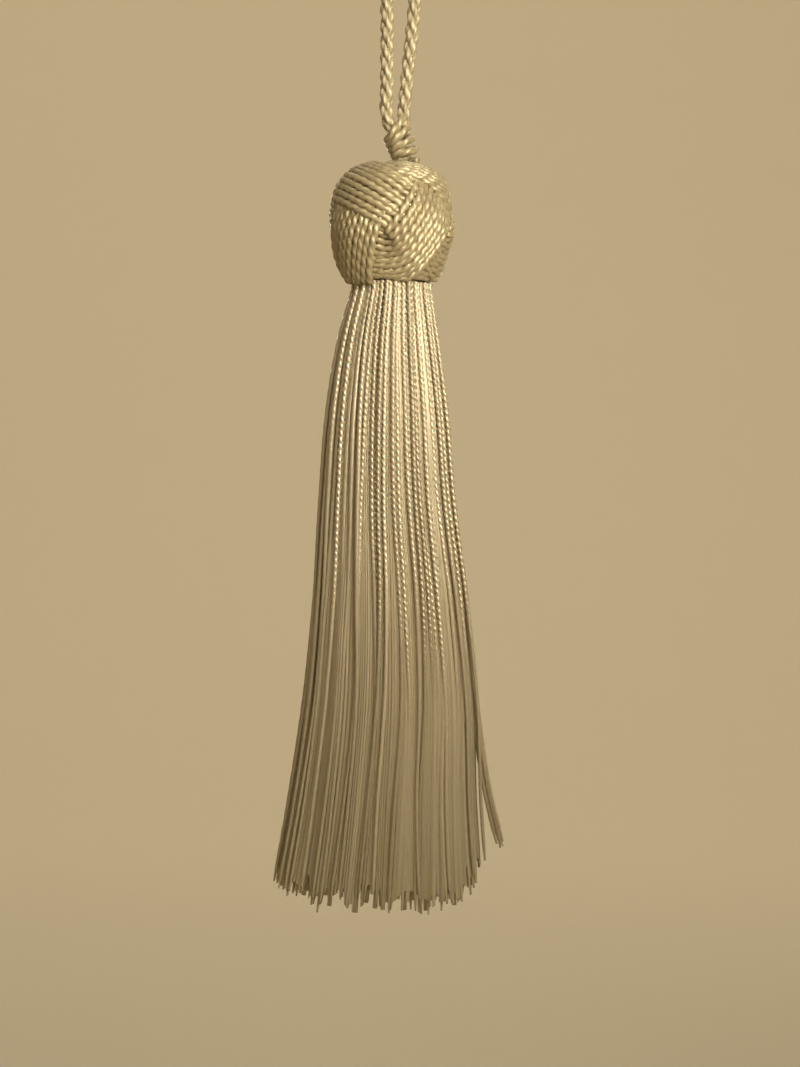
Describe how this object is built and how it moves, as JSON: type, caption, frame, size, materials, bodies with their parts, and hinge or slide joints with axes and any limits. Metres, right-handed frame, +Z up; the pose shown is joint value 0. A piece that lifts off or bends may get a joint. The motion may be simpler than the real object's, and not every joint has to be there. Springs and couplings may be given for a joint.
{
  "type": "tassel",
  "caption": "Key tassel of ivory rayon: a twisted cord hanging loop, a whipped neck, a Turk's head knot ball and a long loose skirt of twisted threads.",
  "frame": {"origin": "inside of the top of the hanging loop, where it bears on whatever it hangs from", "axes": "+Z up along the hanging axis; the front of the tassel, as pictured, faces -Y; +X is to the right as seen from the front"},
  "size_m": [0.0316, 0.0182, 0.1506],
  "materials": {
    "loop_cord": "satin rayon, three-ply twisted cord",
    "whipping": "satin rayon, fine two-ply cord",
    "head_cord": "satin rayon, fine two-ply cord, knotted",
    "skirt_thread": "satin rayon, twisted thread"
  },
  "bodies": {
    "root": {"hanging_loop": "loop_cord", "loop_neck": "whipping", "head": "head_cord", "skirt": "skirt_thread"}
  },
  "joints": []
}
